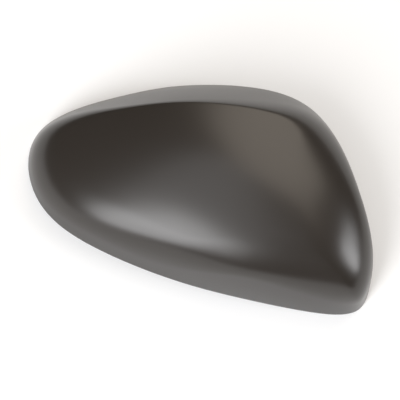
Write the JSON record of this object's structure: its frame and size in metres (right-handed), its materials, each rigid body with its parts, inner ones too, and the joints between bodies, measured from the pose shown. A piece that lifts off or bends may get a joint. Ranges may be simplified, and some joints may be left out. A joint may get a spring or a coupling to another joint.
{
  "type": "wing mirror cover",
  "caption": "Moulded plastic cap for a car door mirror: a crowned face with a crease that fades into a soft shoulder, leaning side walls, and snap hooks, pins and ribs inside.",
  "frame": {"origin": "middle of the rim's bounding box, on the rim plane", "axes": "+X from the narrow inboard nose to the wide outboard end, +Y towards the creased upper edge, +Z from the rim plane to the crowned face"},
  "size_m": [0.23, 0.135, 0.055],
  "materials": {
    "cover_plastic": "satin, dark warm grey, moulded in the colour"
  },
  "bodies": {
    "root": {"mirror_cover": "cover_plastic"}
  },
  "joints": []
}
